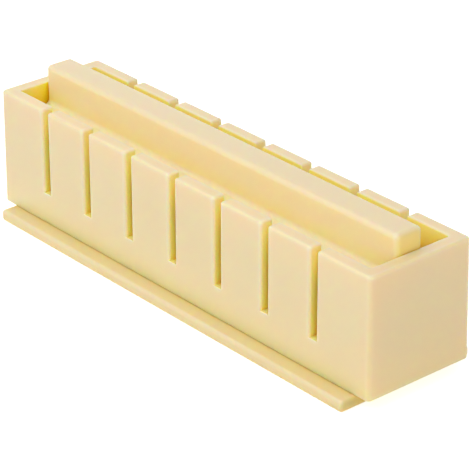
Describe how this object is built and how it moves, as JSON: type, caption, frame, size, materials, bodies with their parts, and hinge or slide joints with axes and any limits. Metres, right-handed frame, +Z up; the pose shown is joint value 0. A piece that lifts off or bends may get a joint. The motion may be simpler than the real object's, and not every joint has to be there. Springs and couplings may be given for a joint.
{
  "type": "sushi rice mould press",
  "caption": "Long rice mould frame with slots down its walls, standing on a flanged base, and a bar-handled press that slides inside it",
  "frame": {"origin": "middle of the base's underside, on the table", "axes": "+X along the mould, +Y from the front wall to the back wall, +Z up"},
  "size_m": [0.22, 0.064, 0.0622],
  "materials": {
    "base_plastic": "cream moulded plastic, satin",
    "frame_plastic": "cream moulded plastic, satin",
    "press_plastic": "cream moulded plastic, satin"
  },
  "bodies": {
    "base": {"base_board": "base_plastic"},
    "frame": {"mold_frame": "frame_plastic"},
    "press": {"press_bar": "press_plastic"}
  },
  "joints": [
    {"name": "frame_lift", "type": "slide", "parent": "base", "child": "frame", "axis": [0, 0, 1], "range_m": [0, 0.065]},
    {"name": "press_stroke", "type": "slide", "parent": "base", "child": "press", "axis": [0, 0, 1], "range_m": [0, 0.11]}
  ]
}
